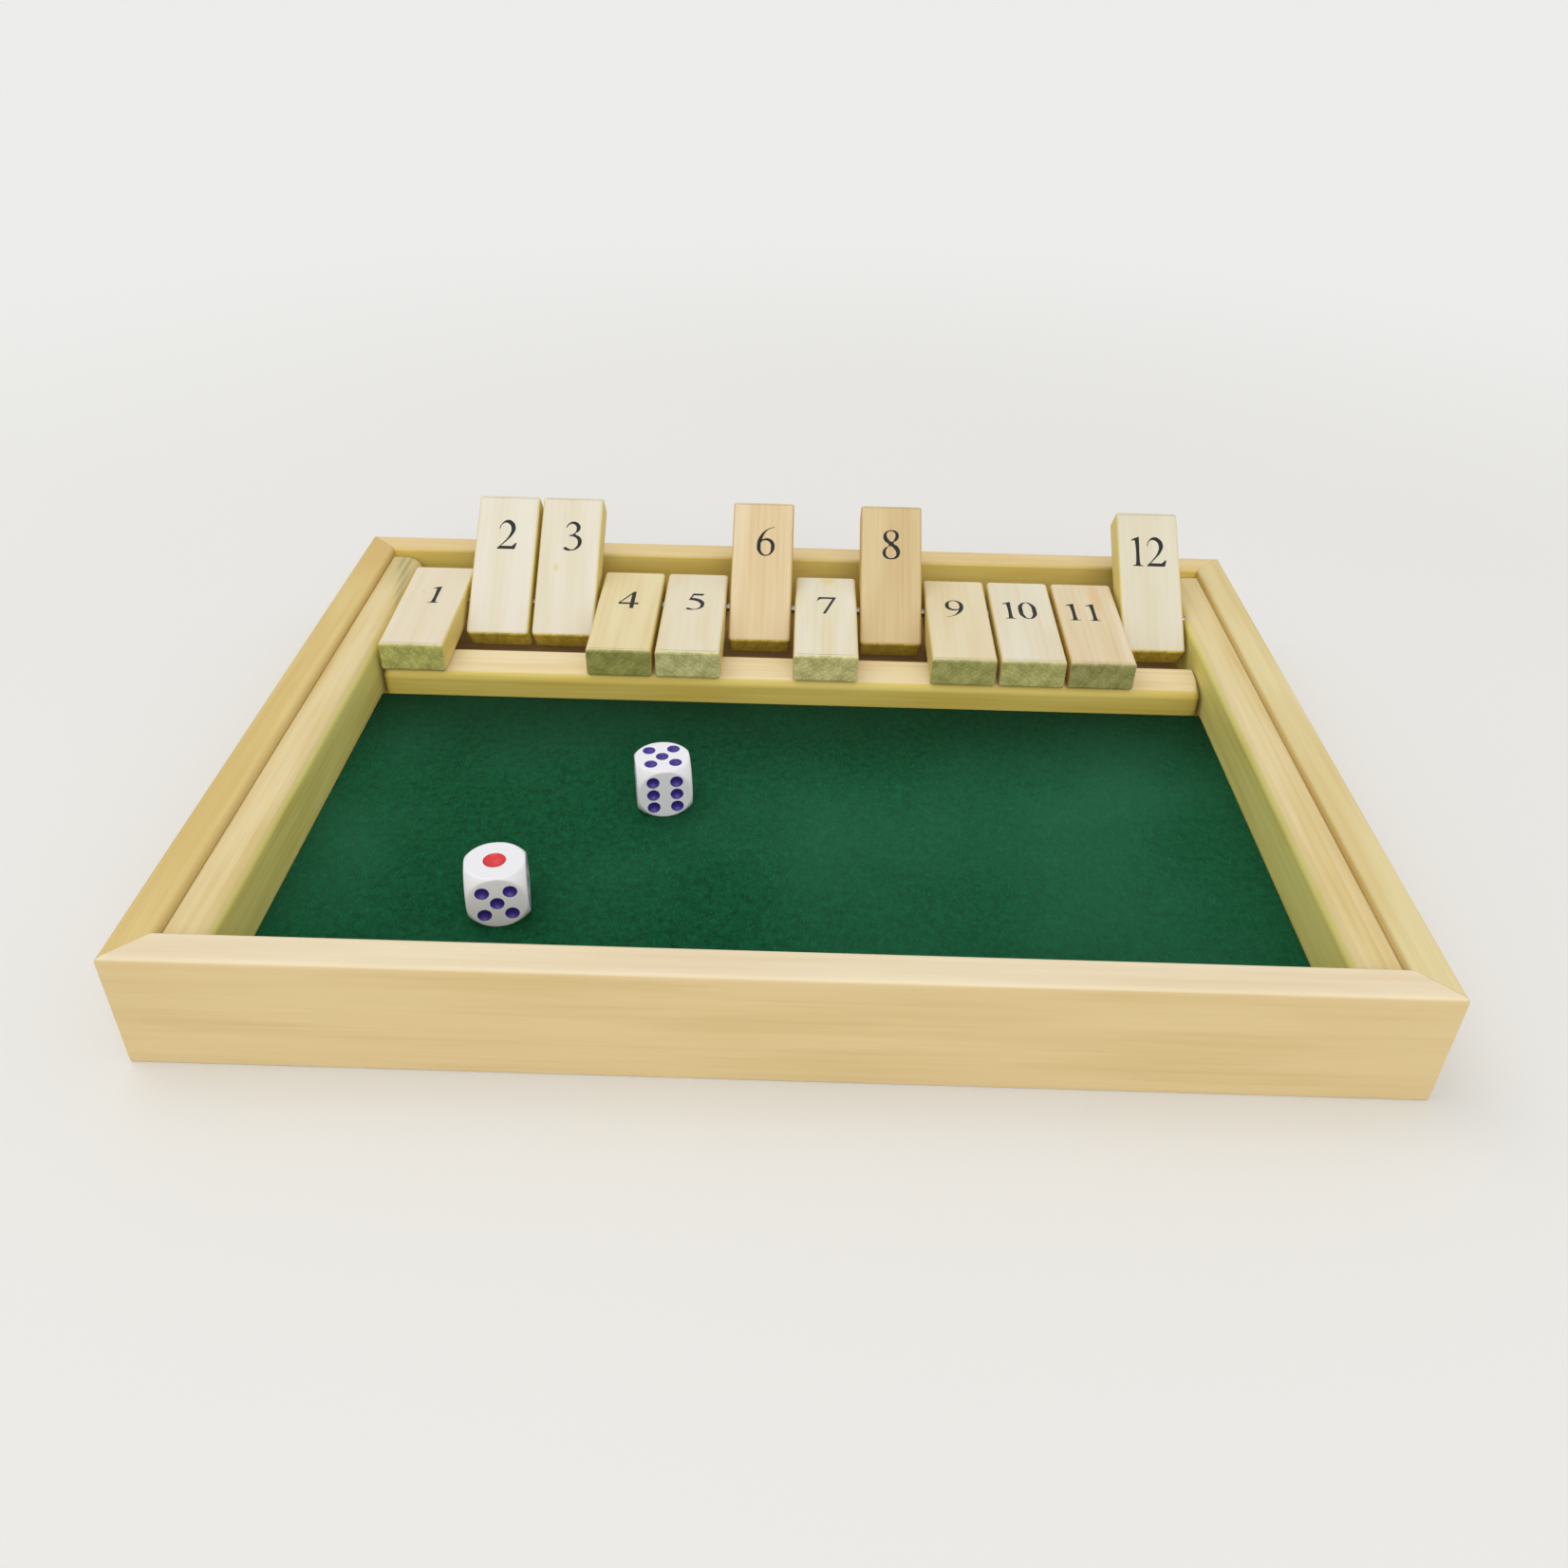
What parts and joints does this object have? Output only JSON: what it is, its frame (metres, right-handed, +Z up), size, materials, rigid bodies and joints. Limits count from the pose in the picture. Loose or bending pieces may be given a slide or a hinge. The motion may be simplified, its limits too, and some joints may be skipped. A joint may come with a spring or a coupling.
{
  "type": "shut the box game",
  "caption": "Shallow wooden tray lined with green felt, with a row of numbered wooden tiles hinged on a steel rod along the back, and a pair of dice.",
  "frame": {"origin": "middle of the tray's footprint, on the surface it rests on", "axes": "+X along the row of tiles towards the highest number, +Y from the player's side to the tiles, +Z up"},
  "size_m": [0.355, 0.263, 0.0638],
  "materials": {
    "frame_pine": "pale planed pine, satin clear coat",
    "strip_pine": "pale planed pine, satin clear coat",
    "base_board": "thin birch plywood, sanded",
    "tile_pale": "pale planed pine, satin clear coat",
    "tile_warm": "warmer planed pine, satin clear coat",
    "felt": "green wool-look felt, glued flat",
    "rod_steel": "bright drawn steel",
    "dice_white": "polished, with coloured recessed pips"
  },
  "bodies": {
    "tray": {"front_wall": "frame_pine", "back_wall": "frame_pine", "left_wall": "frame_pine", "right_wall": "frame_pine", "base_board": "base_board", "felt_lining": "felt", "left_rod_strip": "strip_pine", "right_rod_strip": "strip_pine", "tile_ledge": "strip_pine", "tile_rod": "rod_steel"},
    "tile_1": {"tile_1": "tile_pale"},
    "tile_2": {"tile_2": "tile_pale"},
    "tile_3": {"tile_3": "tile_pale"},
    "tile_4": {"tile_4": "tile_pale"},
    "tile_5": {"tile_5": "tile_pale"},
    "tile_6": {"tile_6": "tile_warm"},
    "tile_7": {"tile_7": "tile_pale"},
    "tile_8": {"tile_8": "tile_warm"},
    "tile_9": {"tile_9": "tile_pale"},
    "tile_10": {"tile_10": "tile_pale"},
    "tile_11": {"tile_11": "tile_warm"},
    "tile_12": {"tile_12": "tile_pale"},
    "die_1": {"die_1": "dice_white"},
    "die_2": {"die_2": "dice_white"}
  },
  "joints": [
    {"name": "tile_1_flip", "type": "hinge", "parent": "tray", "child": "tile_1", "pos_m": [-0.1397, 0.085, 0.0327], "axis": [1, 0, 0], "range_deg": [-164.6, 0]},
    {"name": "tile_2_flip", "type": "hinge", "parent": "tray", "child": "tile_2", "pos_m": [-0.1143, 0.085, 0.0327], "axis": [1, 0, 0], "range_deg": [-20.1, 144.5]},
    {"name": "tile_3_flip", "type": "hinge", "parent": "tray", "child": "tile_3", "pos_m": [-0.0889, 0.085, 0.0327], "axis": [1, 0, 0], "range_deg": [-20.1, 144.5]},
    {"name": "tile_4_flip", "type": "hinge", "parent": "tray", "child": "tile_4", "pos_m": [-0.0635, 0.085, 0.0327], "axis": [1, 0, 0], "range_deg": [-164.6, 0]},
    {"name": "tile_5_flip", "type": "hinge", "parent": "tray", "child": "tile_5", "pos_m": [-0.0381, 0.085, 0.0327], "axis": [1, 0, 0], "range_deg": [-164.6, 0]},
    {"name": "tile_6_flip", "type": "hinge", "parent": "tray", "child": "tile_6", "pos_m": [-0.0127, 0.085, 0.0327], "axis": [1, 0, 0], "range_deg": [-20.1, 144.5]},
    {"name": "tile_7_flip", "type": "hinge", "parent": "tray", "child": "tile_7", "pos_m": [0.0127, 0.085, 0.0327], "axis": [1, 0, 0], "range_deg": [-164.6, 0]},
    {"name": "tile_8_flip", "type": "hinge", "parent": "tray", "child": "tile_8", "pos_m": [0.0381, 0.085, 0.0327], "axis": [1, 0, 0], "range_deg": [-20.1, 144.5]},
    {"name": "tile_9_flip", "type": "hinge", "parent": "tray", "child": "tile_9", "pos_m": [0.0635, 0.085, 0.0327], "axis": [1, 0, 0], "range_deg": [-164.6, 0]},
    {"name": "tile_10_flip", "type": "hinge", "parent": "tray", "child": "tile_10", "pos_m": [0.0889, 0.085, 0.0327], "axis": [1, 0, 0], "range_deg": [-164.6, 0]},
    {"name": "tile_11_flip", "type": "hinge", "parent": "tray", "child": "tile_11", "pos_m": [0.1143, 0.085, 0.0327], "axis": [1, 0, 0], "range_deg": [-164.6, 0]},
    {"name": "tile_12_flip", "type": "hinge", "parent": "tray", "child": "tile_12", "pos_m": [0.1397, 0.085, 0.0327], "axis": [1, 0, 0], "range_deg": [-20.1, 144.5]},
    {"name": "die_1_lift", "type": "slide", "parent": "tray", "child": "die_1", "axis": [0, 0, 1], "range_m": [0, 0.06]},
    {"name": "die_2_lift", "type": "slide", "parent": "tray", "child": "die_2", "axis": [0, 0, 1], "range_m": [0, 0.06]}
  ]
}
